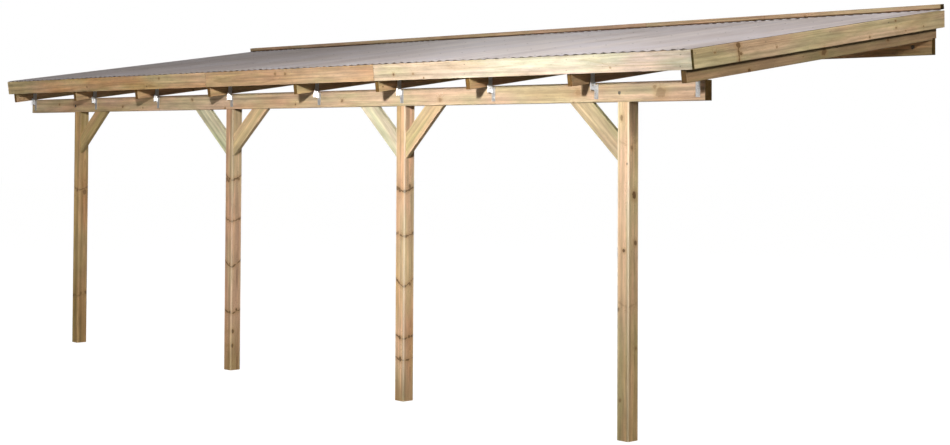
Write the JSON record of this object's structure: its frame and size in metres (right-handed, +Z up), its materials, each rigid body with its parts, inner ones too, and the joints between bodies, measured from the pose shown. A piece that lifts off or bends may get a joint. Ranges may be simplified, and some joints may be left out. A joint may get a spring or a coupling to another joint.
{
  "type": "lean-to pergola with corrugated roof",
  "caption": "Wall-mounted timber pergola: posts with knee braces, front beam, sloping rafters with tails, fascia boards and a corrugated tinted roof.",
  "frame": {"origin": "middle of the wall ledger's back face, on the wall plane", "axes": "+X along the front beam to the right seen from the garden, +Y into the wall, +Z up; the posts' feet are 2.440 m below the origin"},
  "size_m": [7.99, 2.6895, 2.725],
  "materials": {
    "post_timber": "planed, pressure-treated pine",
    "beam_timber": "planed, pressure-treated pine",
    "brace_timber": "planed, pressure-treated pine",
    "rafter_timber": "planed, pressure-treated pine",
    "batten_timber": "sawn, pressure-treated pine",
    "fascia_board": "planed, pressure-treated pine",
    "cap_timber": "planed, pressure-treated pine",
    "roof_sheet": "smoke-tinted corrugated sheet",
    "galvanised_steel": "hot-dip galvanised"
  },
  "bodies": {
    "root": {"post_1": "post_timber", "post_2": "post_timber", "post_3": "post_timber", "post_4": "post_timber", "front_beam": "beam_timber", "brace_1_right": "brace_timber", "brace_2_left": "brace_timber", "brace_2_right": "brace_timber", "brace_3_left": "brace_timber", "brace_3_right": "brace_timber", "brace_4_left": "brace_timber", "rafter_1": "rafter_timber", "rafter_2": "rafter_timber", "rafter_3": "rafter_timber", "rafter_4": "rafter_timber", "rafter_5": "rafter_timber", "rafter_6": "rafter_timber", "rafter_7": "rafter_timber", "rafter_8": "rafter_timber", "rafter_9": "rafter_timber", "wall_ledger": "rafter_timber", "batten_1": "batten_timber", "batten_2": "batten_timber", "batten_3": "batten_timber", "batten_4": "batten_timber", "batten_5": "batten_timber", "front_fascia_left": "fascia_board", "front_fascia_middle": "fascia_board", "front_fascia_right": "fascia_board", "side_fascia_left": "fascia_board", "side_fascia_right": "fascia_board", "roof_sheet_1": "roof_sheet", "roof_sheet_2": "roof_sheet", "roof_sheet_3": "roof_sheet", "roof_sheet_4": "roof_sheet", "roof_sheet_5": "roof_sheet", "roof_sheet_6": "roof_sheet", "roof_sheet_7": "roof_sheet", "roof_sheet_8": "roof_sheet", "wall_cap_left": "cap_timber", "wall_cap_right": "cap_timber", "rafter_anchors": "galvanised_steel"}
  },
  "joints": []
}
